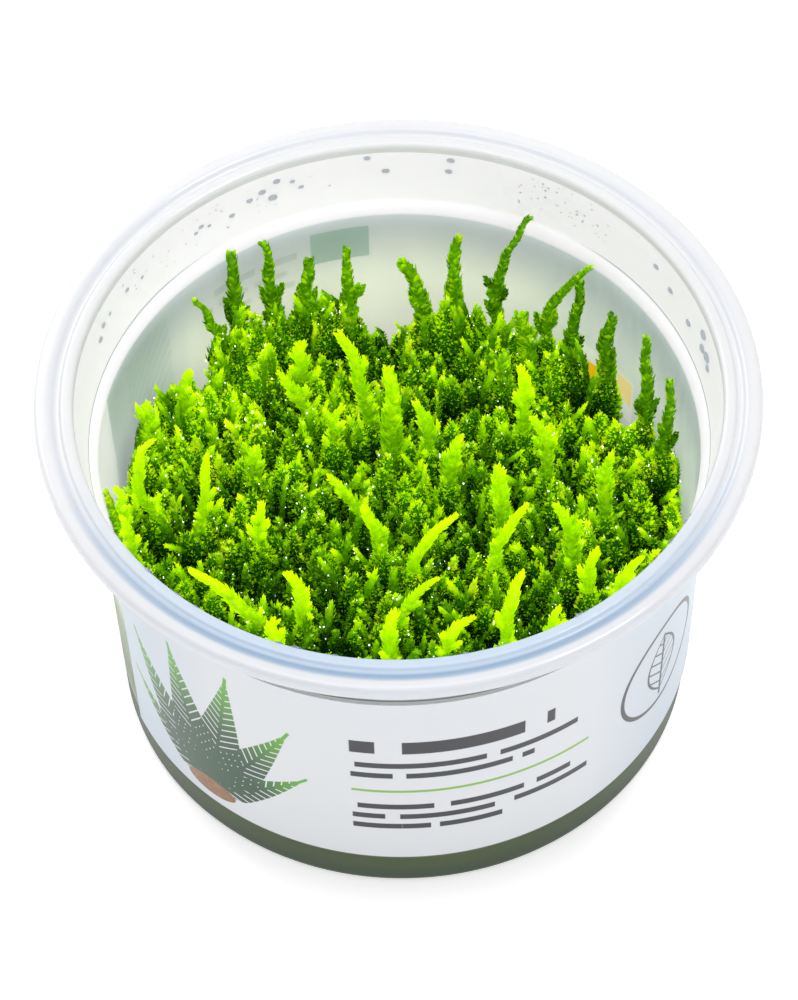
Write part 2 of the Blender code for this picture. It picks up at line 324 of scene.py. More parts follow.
    def rotation(self, primary, secondary, first, second):
        """The turn that lays one axis along the first direction, and another towards the second."""
        kind = "FunctionNodeAxesToRotation"
        return self.node(kind, {0: first, 1: second}, primary_axis=primary, secondary_axis=secondary)

    def object(self, source):
        """The mesh of an object that is given to the group."""
        return self.node("GeometryNodeObjectInfo", {"Object": source}, "Geometry")

    def bead(self, subdivisions):
        """A smooth ball of radius 1."""
        ball = self.node("GeometryNodeMeshIcoSphere", {"Radius": 1.0, "Subdivisions": subdivisions})
        return self.node("GeometryNodeSetShadeSmooth", {"Geometry": ball})

    def copies(self, points, instance, scale, more):
        """A copy of the instance at each point."""
        inputs = {"Points": points, "Instance": instance, "Scale": scale, **more}
        return self.node("GeometryNodeInstanceOnPoints", inputs)

    def interface(self, *sockets):
        """Gives the group its named inputs and one geometry output, and returns the inputs."""
        sockets = (*sockets, ("Material", "Material", None))
        for kind, name, default in sockets:
            item = self.tree.interface.new_socket(name, in_out="INPUT", socket_type=f"NodeSocket{kind}")
            if default is not None:
                item.default_value = default
        self.tree.interface.new_socket("Geometry", in_out="OUTPUT", socket_type="NodeSocketGeometry")
        inlet = self.tree.nodes.new("NodeGroupInput")
        return {name: Socket(self, inlet.outputs[name]) for _, name, _ in sockets}

    def outlet(self, geometry, material):
        """Ends the group: instances become mesh, and the mesh gets its material."""
        whole = self.node("GeometryNodeRealizeInstances", {"Geometry": geometry})
        painted = self.node("GeometryNodeSetMaterial", {"Geometry": whole, "Material": material})
        last = self.tree.nodes.new("NodeGroupOutput")
        self.tree.links.new(painted.socket, last.inputs["Geometry"])
        return self.tree


def geometry_graph(name, *sockets):
    """A new geometry tree's graph, and its inputs by name: the sockets and a material."""
    graph = Graph(bpy.data.node_groups.new(name, "GeometryNodeTree"))
    return graph, graph.interface(*sockets)


def finish(name, surface, *given):
    """A material whose surface is what the function makes of its graph. Its faint glow is no lamp."""
    material = bpy.data.materials.new(name)
    material.cycles.emission_sampling = "NONE"
    material.use_nodes = True
    graph = Graph(material.node_tree)
    shader = surface(graph, *given)
    last = graph.tree.nodes.new("ShaderNodeOutputMaterial")
    graph.tree.links.new(shader.socket, last.inputs["Surface"])
    return material


def brighter(colour, factor):
    """The colour times a factor, and no brighter than white."""
    return tuple(min(1, factor * part) for part in colour)


def linked(name, data):
    """A new object of the data, in the scene."""
    obj = bpy.data.objects.new(name, data)
    bpy.context.scene.collection.objects.link(obj)
    return obj


def mesh_of(name, bm):
    """The bmesh as a mesh."""
    mesh = bpy.data.meshes.new(name)
    bm.to_mesh(mesh)
    bm.free()
    return mesh


def point_object(name, points, edges, faces, numbers):
    """An object of points, edges and faces, whose points carry numbers under their names."""
    mesh = bpy.data.meshes.new(name)
    mesh.from_pydata(points, edges, faces)
    for label, values in numbers.items():
        mesh.attributes.new(label, "FLOAT", "POINT").data.foreach_set("value", values)
    return linked(name, mesh)


def piece(name, bm, materials, smooth_below):
    """Turns a bmesh into a piece that rides on the only body."""
    mesh = mesh_of(name, bm)
    mesh.shade_smooth()
    mesh.set_sharp_from_angle(angle=math.radians(smooth_below))
    for material in materials:
        mesh.materials.append(material)
    obj = linked(name, mesh)
    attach(obj, "root")
    return obj


def grown_piece(obj, tree, values):
    """Makes a piece that rides on the only body of what the tree makes of an object's mesh."""
    modifier = obj.modifiers.new("grow", "NODES")
    modifier.node_group = tree
    for item in tree.interface.items_tree:
        if item.in_out == "INPUT" and item.name in values:
            modifier[item.identifier] = values[item.name]
    obj.update_tag()
    bpy.context.view_layer.update()
    evaluated = obj.evaluated_get(bpy.context.evaluated_depsgraph_get())
    grown = bpy.data.meshes.new_from_object(evaluated)
    grown.name = obj.name
    obj.modifiers.remove(modifier)
    bare = obj.data
    obj.data = grown
    bpy.data.meshes.remove(bare)
    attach(obj, "root")
    return obj


def around(angle, radius, height):
    return Vector((radius * math.cos(angle), radius * math.sin(angle), height))


def outer_radius(height):
    """The wall's outside, which widens from the base to the shoulder."""
    rise = (height - BASE_CORNER) / (SHOULDER_HEIGHT - BASE_CORNER)
    return BASE_RADIUS + (SHOULDER_RADIUS - BASE_RADIUS) * rise


def inner_radius(height):
    return outer_radius(height) - WALL


def upper_radius(height):
    """The wall's inside above the ledge, which widens up to the brim."""
    return LEDGE.lerp(BEAD_FOOT, (height - LEDGE.y) / (BEAD_FOOT.y - LEDGE.y)).x


# Stage


def pale_floor(graph):
    colour = graph.blend(graph.noise(graph.place(), 40.0), (0.93, 0.93, 0.93), (0.96, 0.96, 0.96))
    more = {"Specular IOR Level": 0.1, "Emission Color": colour, "Emission Strength": 0.42}
    return graph.gloss(colour, 0.9, more)


def stage_floor(half):
    """A wide pale floor under the tub."""
    corners = [(-half, -half, 0), (half, -half, 0), (half, half, 0), (-half, half, 0)]
    floor = point_object("floor", corners, [], [(0, 1, 2, 3)], {})
    floor.data.materials.append(finish("pale floor", pale_floor))


def soft_light(name, place, size, power):
    """A square area light that faces the tub."""
    data = bpy.data.lights.new(name, "AREA")
    data.shape = "SQUARE"
    data.size = size
    data.energy = power
    lamp = linked(name, data)
    target = Vector((0, 0, 0.03))
    lamp.location = place
    lamp.rotation_euler = (target - Vector(place)).to_track_quat("-Z", "Y").to_euler()


def camera():
    """The camera, turned a little about its own line of sight as in the photograph."""
    data = bpy.data.cameras.new("camera")
    data.lens = CAMERA_LENS
    data.sensor_width = CAMERA_SENSOR
    data.dof.use_dof = False
    data.clip_start = 0.01
    obj = linked("camera", data)
    tilt = math.pi / 2 - CAMERA_DOWN
    turn = Matrix.Rotation(tilt, 4, "X") @ Matrix.Rotation(-CAMERA_ROLL, 4, "Z")
    obj.matrix_world = Matrix.Translation(CAMERA_PLACE) @ turn
    bpy.context.scene.camera = obj


class MossStage(bpy.types.Operator):
    """Sets the floor, the soft lights, the white surroundings and the camera"""

    bl_idname = "moss.stage"
    bl_label = "Stage"

    def execute(self, context):
        stage_floor(2.5)
        soft_light("top", (0.0, 0.05, 0.85), 0.5, 2.6)
        soft_light("front", (0.15, -0.55, 0.55), 0.4, 1.1)
        soft_light("back", (-0.3, 0.45, 0.45), 0.35, 1.9)
        soft_light("sparkle", (0.2, 0.1, 0.7), 0.07, 1.1)
        world = bpy.data.worlds.new("white surroundings")
        world.use_nodes = True
        background = world.node_tree.nodes["Background"]
        background.inputs["Color"].default_value = (1, 1, 1, 1)
        background.inputs["Strength"].default_value = 0.6
        context.scene.world = world
        context.scene.view_settings.view_transform = "Standard"
        camera()
        return {"FINISHED"}


# Tub


def softened(corners):
    """A profile through (radius, height, reach) corners, each rounded over its reach, in metres."""
    line = []
    for number, (radius, height, reach) in enumerate(corners):
        here = Vector((radius, height))
        if number in (0, len(corners) - 1) or reach == 0:
            line.append(here)
            continue
        before = Vector(corners[number - 1][:2])
        after = Vector(corners[number + 1][:2])
        start = here + (before - here).normalized() * reach
        end = here + (after - here).normalized() * reach
        for step in range(ROUND_STEPS + 1):
            t = step / ROUND_STEPS
            line.append((1 - t) ** 2 * start + 2 * t * (1 - t) * here + t**2 * end)
    return line


def tub_sections():
    """The tub's profile in three stretches: the outside, the brim and the inside, in metres."""
    top = TUB_TOP / MM
    rim = BRIM_RADIUS / MM
    base = BASE_RADIUS / MM
    shoulder = SHOULDER_HEIGHT / MM
    floor = 1.0
    flange = (rim - 3.65, top - 1.6, 0)
    bead_foot = (*(BEAD_FOOT / MM), 0)
    outside = [
        (0, 0, 0),
        (base, 0, 1.6),
        (SHOULDER_RADIUS / MM, shoulder, 0.5),
        (rim - 5.85, shoulder + 1.3, 0.5),
        (rim - 4.45, top - 2.4, 0.6),
        flange,
    ]
    brim = [
        flange,
        (rim - 0.8, top - 1.6, 0.15),
        (rim - 0.8, top - 2.0, 0.15),
        (rim, top - 2.0, 0.2),
        (rim, top, 0.9),
        (rim - 2.3, top, 0.4),
        (rim - 2.9, top - 0.6, 0.3),
        (rim - 3.5, top - 0.6, 0.3),
        (rim - 3.8, top - 0.1, 0.25),
        (rim - 5.4, top - 0.1, 0.8),
        bead_foot,
    ]
    inside = [
        bead_foot,
        (*(LEDGE / MM), 0.4),
        (inner_radius(SHOULDER_HEIGHT) / MM, shoulder - 0.45, 0.4),
        (base - WALL / MM, floor, 1.0),
        (0, floor, 0),
    ]
    parts = [[(r * MM, h * MM, reach * MM) for r, h, reach in part] for part in (outside, brim, inside)]
    return [softened(part) for part in parts]


def turned(sections, segments):
    """Turns the sections into one closed shell, and numbers each section's faces as a material."""
    bm = bmesh.new()
    last_ring = None
    for number, section in enumerate(sections):
        start = 0 if number == 0 else 1
        for point in section[start:]:
            if point.x == 0:
                ring = [bm.verts.new((0, 0, point.y))]
            else:
                ring = [bm.verts.new(around(2 * math.pi * s / segments, *point)) for s in range(segments)]
            if last_ring:
                for s in range(segments):
                    after = (s + 1) % segments
                    corners = [last_ring[s % len(last_ring)], last_ring[after % len(last_ring)]]
                    corners += [ring[after % len(ring)], ring[s % len(ring)]]
                    face = bm.faces.new(list(dict.fromkeys(corners)))
                    face.material_index = number
            last_ring = ring
    bmesh.ops.recalc_face_normals(bm, faces=bm.faces)
    return bm


def on_tub(graph):
    """A place on the tub: its vector in metres, its x, y and z in mm, and its bearing in degrees."""
    vector = graph.place()
    x, y, z = [part / MM for part in graph.parts(vector)]
    return vector, x, y, z, graph.maths("ARCTAN2", y, x) * math.degrees(1)


def label_mask(graph, bearing):
    """1 where the label covers the wall, seen by bearing."""
    start = math.degrees(LABEL_START) - 360
    return graph.between(bearing, start, start + math.degrees(LABEL_TURN), 0.15)


def dashes(graph, across, height, rows):
    """Rows of plain dashes, each given by its ends, its middle height, its thickness and its beat."""
    lines = []
    for left, right, middle, thickness, beat in rows:
        line = graph.between(across, left, right, 0.12)
        line = line * graph.between(height, middle - thickness / 2, middle + thickness / 2, 0.08)
        swell = graph.maths("SINE", across * (0.43 * beat) + middle)
        swing = graph.maths("SINE", across * beat) + 0.8 * swell
        lines.append(line * graph.step(swing, -1.15, -1.05))
    return sum(lines)


def back_print(graph, bearing, height):
    """The marks on the label's back, also seen through the wall: panel, dashes, stripes and tags."""
    panel = graph.between(bearing, 95.0, 107.0, 0.2) * graph.between(height, 40.5, 47.0, 0.2)
    rows = [(110.0, 130.0, 43.5, 1.4, 1.1), (112.0, 131.0, 40.5, 1.1, 1.5), (110.0, 127.0, 37.8, 1.1, 1.3)]
    words = dashes(graph, bearing, height, rows)
    block = graph.between(bearing, 142.0, 157.5, 0.2) * graph.between(height, 30.0, 47.0, 0.2)
    slant = graph.maths("FRACT", (bearing * 0.75 + height) / 2.4)
    stripes = block * graph.step(slant, 0.25, 0.32)
    tag = graph.between(bearing, 44.5, 49.0, 0.15) * graph.between(height, 24.5, 28.5, 0.15)
    pale_tag = graph.between(bearing, 34.0, 38.5, 0.15) * graph.between(height, 26.0, 31.0, 0.15)
    return panel, words, stripes, tag, pale_tag


def plastic(graph, colour, roughness, more):
    """Frosted polypropylene: a glossy skin, with light let through."""
    skin = {"IOR": 1.5, "Coat Weight": 0.25, "Coat Roughness": 0.12, **more}
    return graph.half_clear(graph.gloss(colour, roughness, skin), colour)


def outside_wall(graph, settings):
    """The outer wall: bare plastic, the gel's band at the foot, moss behind the bare strip, and painted
    shadow lines at the label's top edge and under the shoulder.
    """
    vector, _, _, height, bearing = on_tub(graph)
    cloud = graph.noise(vector, 90.0, 3.0)
    low = 1 - graph.step(height, 6.6, 8.8)
    band = graph.blend(cloud, settings.band, brighter(settings.band, 1.5))
    foot = 1 - graph.step(height, 0.5, 5.5)
    band = graph.blend(foot * 0.8, band, (0.035, 0.072, 0.04))
    behind = graph.blend(graph.noise(vector, 160.0), (0.16, 0.30, 0.10), (0.45, 0.60, 0.30))
    moss = (1 - graph.step(height + cloud * 8.0, 30.0, 38.0)) * (1 - label_mask(graph, bearing))
    top, shoulder = LABEL_HIGH / MM, SHOULDER_HEIGHT / MM
    colour = graph.layers(
        settings.plastic,
        (moss * 0.7, behind),
        (low, band),
        # Painted shadows: a dark line just above the label's top edge, and a fainter one under the shoulder
        (graph.between(height, top + 0.1, top + 0.6, 0.12) * 0.9, (0.16, 0.19, 0.17)),
        (graph.between(height, shoulder - 0.4, shoulder, 0.12) * 0.5, (0.20, 0.24, 0.23)),
    )
    mist = graph.noise(vector, 1400.0)
    return plastic(graph, colour, 0.28 + 0.12 * mist, {"Normal": graph.bump(mist, 0.02 * MM, 0.3)})


def brim_plastic(graph, settings):
    """The brim: clean, glossy, with a painted cool shade on its bead and in its groove, strongest at the
    front.
    """
    vector, x, y, _, _ = on_tub(graph)
    away = graph.length(x, y)
    rim = BRIM_RADIUS / MM
    # Painted shade: the bead and the groove get a cool shade, strongest at the front
    front = 1 - graph.step(y, -46.0, -8.0)
    groove = graph.between(away, rim - 3.2, rim - 1.8, 0.4)
    bead = 1 - graph.step(away, rim - 3.4, rim - 2.7)
    flow = graph.noise(vector, 25.0)
    colour = graph.layers(
        settings.plastic,
        (flow, brighter(settings.plastic, 1.04)),
        (bead * front, settings.bead),
        (groove * (0.12 + 0.83 * front), settings.groove),
    )
    return plastic(graph, colour, 0.16 + 0.08 * flow, {})


def inside_wall(graph, settings):
    """The inner wall: the label shows through it as a shade, its back print as faint marks, and a painted
    glow stands in for light let through it.
    """
    vector, x, _, height, bearing = on_tub(graph)
    cloud = graph.noise(vector, 60.0, 3.0)
    shade = graph.step(height + cloud * 3.0, 36.0, 50.0)
    backed = label_mask(graph, bearing) * graph.between(height, LABEL_LOW / MM, LABEL_HIGH / MM + 1.2, 0.12)
    right = graph.step(x, 14.0, 34.0)
    runs = graph.noise(vector * (1.0, 1.0, 0.22), 620.0, 3.0)
    # Painted shade: the inner wall at the far left is darker and cooler, and glows less
    left = graph.step(bearing, 130.0, 152.0)
    panel, words, stripes, tag, pale_tag = back_print(graph, bearing, height)
    tags = graph.between(bearing, 33.5, 49.5, 0.15) * graph.between(height, 22.5, 31.6, 0.2)
    wall = graph.layers(
        settings.lit,
        (shade, settings.shaded),
        (right * 0.6, graph.blend(runs, (0.46, 0.54, 0.57), (0.74, 0.78, 0.80))),
        (left * 0.8, settings.sides),
        (panel * 0.75, (0.36, 0.50, 0.45)),
        (words * 0.22, (0.22, 0.30, 0.28)),
        (stripes * 0.4, (0.55, 0.64, 0.63)),
        (tags * 0.6, (0.97, 0.95, 0.90)),
        (tag, (1.0, 0.62, 0.01)),
        (pale_tag * 0.8, (0.98, 0.72, 0.28)),
    )
    ledge = LEDGE.y / MM
    # Painted shade: a thin dark line along the ledge, only at the left and right
    ledge_shade_line = graph.between(height, ledge - 0.05, ledge + 0.2, 0.06) * graph.step(abs(x), 24.0, 33.0)
    beads = graph.step(graph.noise(vector, 2300.0, 1.0), 0.58, 0.66)
    misted = beads * graph.step(cloud, 0.5, 0.6) * graph.step(height, ledge + 0.6, ledge + 2.1)
    # Painted light: above the label the inner wall is a brighter copy of the plastic, with mist and the
    # ledge's painted shade line on it
    upper = graph.layers(
        settings.upper, (misted * 0.3, (0.62, 0.66, 0.70)), (ledge_shade_line * 0.7, (0.30, 0.33, 0.36))
    )
    colour = graph.blend(backed, upper, wall)
    # Painted glow, with no lamp: light let through the wall is painted as emission, most where the label
    # backs it, less where it is shaded and at the left
    lit = 0.31 + backed * (0.45 - 0.3 * shade - 0.2 * left)
    mist = graph.noise(vector, 900.0, 3.0)
    more = {
        "Normal": graph.bump(mist, 0.03 * MM, 0.4),
        "Emission Color": graph.blend(lit, (0.0, 0.0, 0.0), colour),
        "Emission Strength": 1.2,
    }
    return plastic(graph, colour, 0.22 + 0.2 * mist, more)


class MossTub(bpy.types.Operator):
    """Makes the frosted tub with its brim, shoulder and grooves"""

    bl_idname = "moss.tub"
    bl_label = "Tub"

    def execute(self, context):
        settings = context.scene.moss_tub
        finishes = [
            finish("frosted wall", outside_wall, settings),
            finish("brim plastic", brim_plastic, settings),
            finish("misted wall", inside_wall, settings),
        ]
        shell = turned(tub_sections(), settings.segments)
        tub = piece("frosted_tub", shell, finishes, 50)
        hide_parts("tub")
        return {"FINISHED"}


# Label


def label_shell(segments):
    """The label as a thin closed band with two ends."""
    section = [(LABEL_LOW, 0), (LABEL_LOW, LABEL_THICKNESS), (LABEL_HIGH, LABEL_THICKNESS), (LABEL_HIGH, 0)]
    section = [(outer_radius(height) + LABEL_GAP + thickness, height) for height, thickness in section]
    bm = bmesh.new()
    last = None
    for step in range(segments + 1):
        angle = LABEL_START + LABEL_TURN * step / segments
        corners = [bm.verts.new(around(angle, *corner)) for corner in section]
        if last:
            for side in range(4):
                after = (side + 1) % 4
                bm.faces.new((last[side], last[after], corners[after], corners[side]))
        else:
            bm.faces.new(corners)
        last = corners
    bm.faces.new(reversed(last))
    bmesh.ops.recalc_face_normals(bm, faces=bm.faces)
    return bm


def frond(graph, across, height, foot, lean, length, bend):
    """One printed frond: 1 on its leaflets and rib, and the share of its length at each point."""
    right = across - foot[0]
    up = height - foot[1]
    along = right * math.sin(lean) + up * math.cos(lean)
    share = along / length
    aside = right * math.cos(lean) - up * math.sin(lean) - share * share * bend
    away = abs(aside)
    width = (1 - share) * graph.step(share, -0.05, 0.3) * (0.22 * length)
    gaps = graph.step(graph.maths("FRACT", (along - away * 0.9) / 1.7), 0.16, 0.22)
    leaflets = gaps * graph.step(width - away, 0.0, 0.15)
    rib = graph.step(0.34 - away, 0.0, 0.1)
    return graph.any_of(leaflets, rib) * graph.between(share, 0.0, 1.0, 0.01), share


def leaf_seal(graph, across, height, middle):
    """A ring round one plain leaf with slanted veins."""
    right = across - middle[0]
    up = height - middle[1]
    ring = graph.between(graph.length(right, up), 9.1, 9.9, 0.08)
    share = up / 7.0
    half = (1 - share * share) * 3.9
    away = abs(right)
    blade = graph.step(half - away, 0.0, 0.12)
    rim = blade * graph.step(away - half, -0.6, -0.5)
    rib = graph.step(0.32 - away, 0.0, 0.08) * graph.between(up, -8.2, 7.0, 0.1)
    veins = blade * graph.step(graph.maths("FRACT", (up - away * 0.8) / 2.3), 0.8, 0.86)
    return graph.any_of(ring, rim, rib, veins)


def label_film(graph, settings):
    """Glossy white film with a plain print: a fan of fronds, dashes, a leaf seal and marks at the back, and
    a painted cool shade towards its sides.
    """
    vector, x, _, height, bearing = on_tub(graph)
    across = (bearing + 90.0) * (math.radians(1) * SHOULDER_RADIUS / MM)
    ink = settings.ink
    colour = graph.layers(
        settings.film,
        (graph.noise(vector, 12.0), brighter(settings.film, 1.04)),
        # Painted shade: darker and cooler towards the left and right sides
        (graph.step(abs(x), 23.0, 40.0) * 0.9, (0.42, 0.49, 0.57)),
    )

    # The fan's foot on a pebble, and each frond's lean in degrees, its length and its bend
    foot = (-31.0, 12.5)
    fronds = [(-62, 20, 3.5), (-36, 28, 2.5), (-12, 31, 1.0), (12, 32, -1.5), (36, 28, -2.5), (61, 21, -3.5)]
    for lean, length, bend in fronds:
        mask, share = frond(graph, across, height, foot, math.radians(lean), length, bend)
        green = graph.blend(graph.step(share, 0.45, 1.0), settings.frond, (0.10, 0.34, 0.015))
        colour = graph.blend(mask, colour, green)
    pebble = graph.length((across - foot[0]) / 4.6, (height - foot[1] + 0.9) / 2.1)
    grain = graph.blend(graph.noise(vector, 700.0, 3.0), (0.10, 0.04, 0.012), (0.36, 0.17, 0.05))

    rows = [
        (-8.0, 21.0, 37.0, 3.0, 0.62),
        (-8.0, 26.0, 32.4, 1.3, 0.9),
        (-8.0, 18.0, 29.8, 1.3, 1.1),
        (-8.0, 24.0, 21.6, 1.3, 1.0),
        (-8.0, 27.0, 19.0, 1.3, 0.8),
        (-8.0, 15.0, 16.4, 1.3, 1.2),
        (58.0, 72.0, 22.0, 1.1, 1.4),
        (58.0, 68.0, 19.8, 1.1, 1.1),
    ]
    rule = graph.between(across, -8.0, 27.0, 0.1) * graph.between(height, 25.4, 26.0, 0.06)
    panel, words, stripes, tag, pale_tag = back_print(graph, bearing, height)
    colour = graph.layers(
        colour,
        (1 - graph.step(pebble, 0.95, 1.0), grain),
        (dashes(graph, across, height, rows), ink),
        (rule, (0.20, 0.40, 0.06)),
        (leaf_seal(graph, across, height, (43.0, 27.0)), ink),
        (panel, (0.10, 0.20, 0.15)),
        (words, ink),
        (stripes, (0.12, 0.26, 0.18)),
        (graph.any_of(tag, pale_tag), (0.85, 0.38, 0.06)),
    )
    return graph.gloss(colour, 0.35, {"Specular IOR Level": 0.3, "Coat Weight": 0.1})


class MossLabel(bpy.types.Operator):
    """Makes the printed wrap label"""

    bl_idname = "moss.label"
    bl_label = "Wrap label"

    def execute(self, context):
        settings = context.scene.moss_tub
        film = finish("label film", label_film, settings)
        label = piece("printed_label", label_shell(settings.segments), [film], 40)
        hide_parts("wrap_label")
        return {"FINISHED"}


# Gel


def clouded_gel(graph):
    """The gel, clouded and stained by roots."""
    vector = graph.place()
    cloud = graph.noise(vector, 120.0, 4.0)
    roots = graph.step(graph.noise(vector, 420.0, 3.0), 0.52, 0.62)
    colour = graph.layers(
        (0.30, 0.38, 0.22), (cloud, (0.52, 0.58, 0.40)), (roots * 0.6, (0.16, 0.12, 0.05))
    )
    return graph.gloss(colour, 0.12 + 0.1 * cloud, {"Subsurface Weight": 0.3, "Subsurface Scale": 0.002})


class MossGel(bpy.types.Operator):
    """Gives the gel its clouded, root-stained look"""

    bl_idname = "moss.gel"
    bl_label = "Nutrient gel"

    def execute(self, context):
        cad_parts["nutrient_gel"].data.materials.clear()
        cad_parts["nutrient_gel"].data.materials.append(finish("clouded gel", clouded_gel))
        return {"FINISHED"}


# Moss


# An upright bushy column of the mat: the top of its head, its radius and its tone
Column = namedtuple("Column", "head radius tone")


class Strand:
    """One stem of moss: its points from foot to tip, with what its leaves need at each."""

    def __init__(self, points, halves, tone, side):
        self.points = points
        self.halves = halves
        self.tone = tone
        self.side = side

    def at(self, share):
        """The point, the direction and the half width at a share of the way up."""
        reach = share * (len(self.points) - 1)
        low = min(int(reach), len(self.points) - 2)
        part = reach - low
        point = self.points[low].lerp(self.points[low + 1], part)
        along = (self.points[low + 1] - self.points[low]).normalized()
        return point, along, self.halves[low] * (1 - part) + self.halves[low + 1] * part


def strand_object(name, strands):
    """A mesh of bare edges, a chain for each strand, which carries the leaves' sizes and tones."""
    points, edges, halves, tones, rises, sides = [], [], [], [], [], []
    for strand in strands:
        first = len(points)
        count = len(strand.points)
        points += strand.points
        edges += [(first + n, first + n + 1) for n in range(count - 1)]
        halves += strand.halves
        tones += [strand.tone] * count
        rises += [n / (count - 1) for n in range(count)]
        sides += list(strand.side) * count
    obj = point_object(name, points, edges, [], {"half_width": halves, "tone": tones, "rise": rises})
    obj.data.attributes.new("side", "FLOAT_VECTOR", "POINT").data.foreach_set("vector", sides)
    return obj


def broad_leaf(outline, bulge):
    """A closed leaf one unit long, from its outline of (along, half width) points."""
    bm = bmesh.new()
    right = [(half, along) for along, half in outline]
    left = [(-half, along) for along, half in reversed(outline) if half > 0]
    rim = [bm.verts.new((across, 0, along)) for across, along in right + left]
    middle = 0.42
    outer = bm.verts.new((0, bulge, middle))
    inner = bm.verts.new((0, bulge * 0.35, middle))
    for number, corner in enumerate(rim):
        after = rim[(number + 1) % len(rim)]
        bm.faces.new((corner, after, outer))
        bm.faces.new((after, corner, inner))
    return bm


def keeled_leaf(half, cup):
    """The smallest closed leaf: a fold of four faces, one unit long, hollow towards its stem."""
    bm = bmesh.new()
    foot = bm.verts.new((0, 0, 0))
    tip = bm.verts.new((0, 0, 1))
    left = bm.verts.new((-half, -cup, 0.42))
    right = bm.verts.new((half, -cup, 0.42))
    for corners in ((foot, left, tip), (foot, tip, right), (foot, right, left), (left, right, tip)):
        bm.faces.new(corners)
    return bm


def leaf_object(name, bm):
    """The leaf that the trees repeat, which knows how far along itself each point lies."""
    bmesh.ops.recalc_face_normals(bm, faces=bm.faces)
    mesh = mesh_of(name, bm)
    along = mesh.attributes.new("along", "FLOAT", "POINT")
    along.data.foreach_set("value", [v.co.z for v in mesh.vertices])
    return linked(name, mesh)


def leafy_tree():
    """Clothes each strand with a spiral of overlapping leaves over a thin core."""
    graph, given = geometry_graph(
        "leafy strands",
        ("Geometry", "Strands", None),
        ("Object", "Leaf", None),
        ("Float", "Leaf Spacing", 0.18 * MM),
        ("Float", "Leaf Reach", 1.6),
        ("Float", "Leaf Foot", 0.0),
        ("Float", "Opening", math.radians(38)),
        ("Float", "Tip Closing", 0.4),
        ("Float", "Tone Spread", 0.12),
        ("Float", "Core Share", 0.35),
        ("Float", "Core Spacing", 0.8 * MM),
        ("Int", "Core Sides", 5),
        ("Int", "Seed", 1),
    )
    seed = given["Seed"]
    line = graph.node("GeometryNodeMeshToCurve", {"Mesh": given["Strands"]})
    line = graph.node("GeometryNodeCurveSplineType", {"Curve": line}, spline_type="CATMULL_ROM")
    points = graph.spaced(line, given["Leaf Spacing"])
    along = graph.node("GeometryNodeInputTangent")
    side = graph.field("side", "FLOAT_VECTOR")
    slope = graph.vector("DOT_PRODUCT", {0: side, 1: along}, "Value")
    side = graph.vector("NORMALIZE", {0: side - along * slope})
    front = graph.maths("CROSS_PRODUCT", along, side)
    half = graph.field("half_width")
    rise = graph.field("rise")
    turn = graph.node("GeometryNodeInputIndex") * GOLDEN_ANGLE + graph.any_number(-0.35, 0.35, seed)
    across = graph.maths("COSINE", turn)
    through = graph.maths("SINE", turn)
    outward = side * across + front * through
    spread = 0.5 + 0.5 * abs(across)
    closing = 1.1 - given["Tip Closing"] * rise * rise
    opening = given["Opening"] * spread * closing + graph.any_number(-0.12, 0.12, seed + 1)
    cosine = graph.maths("COSINE", opening)
    sine = graph.maths("SINE", opening)
    leafward = along * cosine + outward * sine
    rotation = graph.rotation("Z", "Y", leafward, outward * cosine - along * sine)
    size = half * given["Leaf Reach"] * graph.any_number(0.8, 1.15, seed + 2)
    tone = graph.field("tone") + given["Tone Spread"] * graph.any_number(-1.0, 1.0, seed + 3)
    points = graph.keep(points, "tone", tone)
    points = graph.keep(points, "turn", rotation, "QUATERNION")
    points = graph.moved(points, (side * across + front * (0.5 * through)) * (half * given["Leaf Foot"]))
    turned_by = {"Rotation": graph.field("turn", "QUATERNION")}
    leaves = graph.copies(points, graph.object(given["Leaf"]), size, turned_by)
    ring = graph.node("GeometryNodeCurvePrimitiveCircle", {"Resolution": given["Core Sides"], "Radius": 1.0})
    spine = graph.spaced(line, given["Core Spacing"])
    inputs = {"Curve": spine, "Profile Curve": ring, "Scale": half * given["Core Share"], "Fill Caps": True}
    core = graph.node("GeometryNodeCurveToMesh", inputs)
    return graph.outlet(graph.node("GeometryNodeJoinGeometry", {0: [leaves, core]}), given["Material"])


def dew_tree():
    """Sets small clear beads of water here and there beside each strand."""
    graph, given = geometry_graph(
        "dew beads",
        ("Geometry", "Strands", None),
        ("Float", "Step", 1.0 * MM),
        ("Float", "Chance", 0.3),
        ("Float", "Smallest", 0.06 * MM),
        ("Float", "Largest", 0.17 * MM),
        ("Float", "Running", 4.0),
        ("Int", "Seed", 1),
    )
    seed = given["Seed"]
    line = graph.node("GeometryNodeMeshToCurve", {"Mesh": given["Strands"]})
    points = graph.spaced(line, given["Step"])
    points = graph.node("GeometryNodeCurveToPoints", {"Curve": points}, mode="EVALUATED")
    turn = graph.any_number(0.0, 2 * math.pi, seed)
    aside = graph.combined(graph.maths("COSINE", turn), graph.maths("SINE", turn))
    points = graph.moved(points, aside * (graph.field("half_width") * graph.any_number(0.3, 1.0, seed + 1)))
    inputs = {6: given["Chance"], "Seed": seed + 2}
    some = graph.node("FunctionNodeRandomValue", inputs, 3, data_type="BOOLEAN")
    longer = graph.maths("POWER", graph.any_number(0.0, 1.0, seed + 4), 12.0) * given["Running"]
    size = graph.any_number(given["Smallest"], given["Largest"], seed + 3)
    shape = graph.combined(1.0, 1.0, longer + 1.0)
    beads = graph.copies(points, graph.bead(1), shape * size, {"Selection": some})
    return graph.outlet(beads, given["Material"])


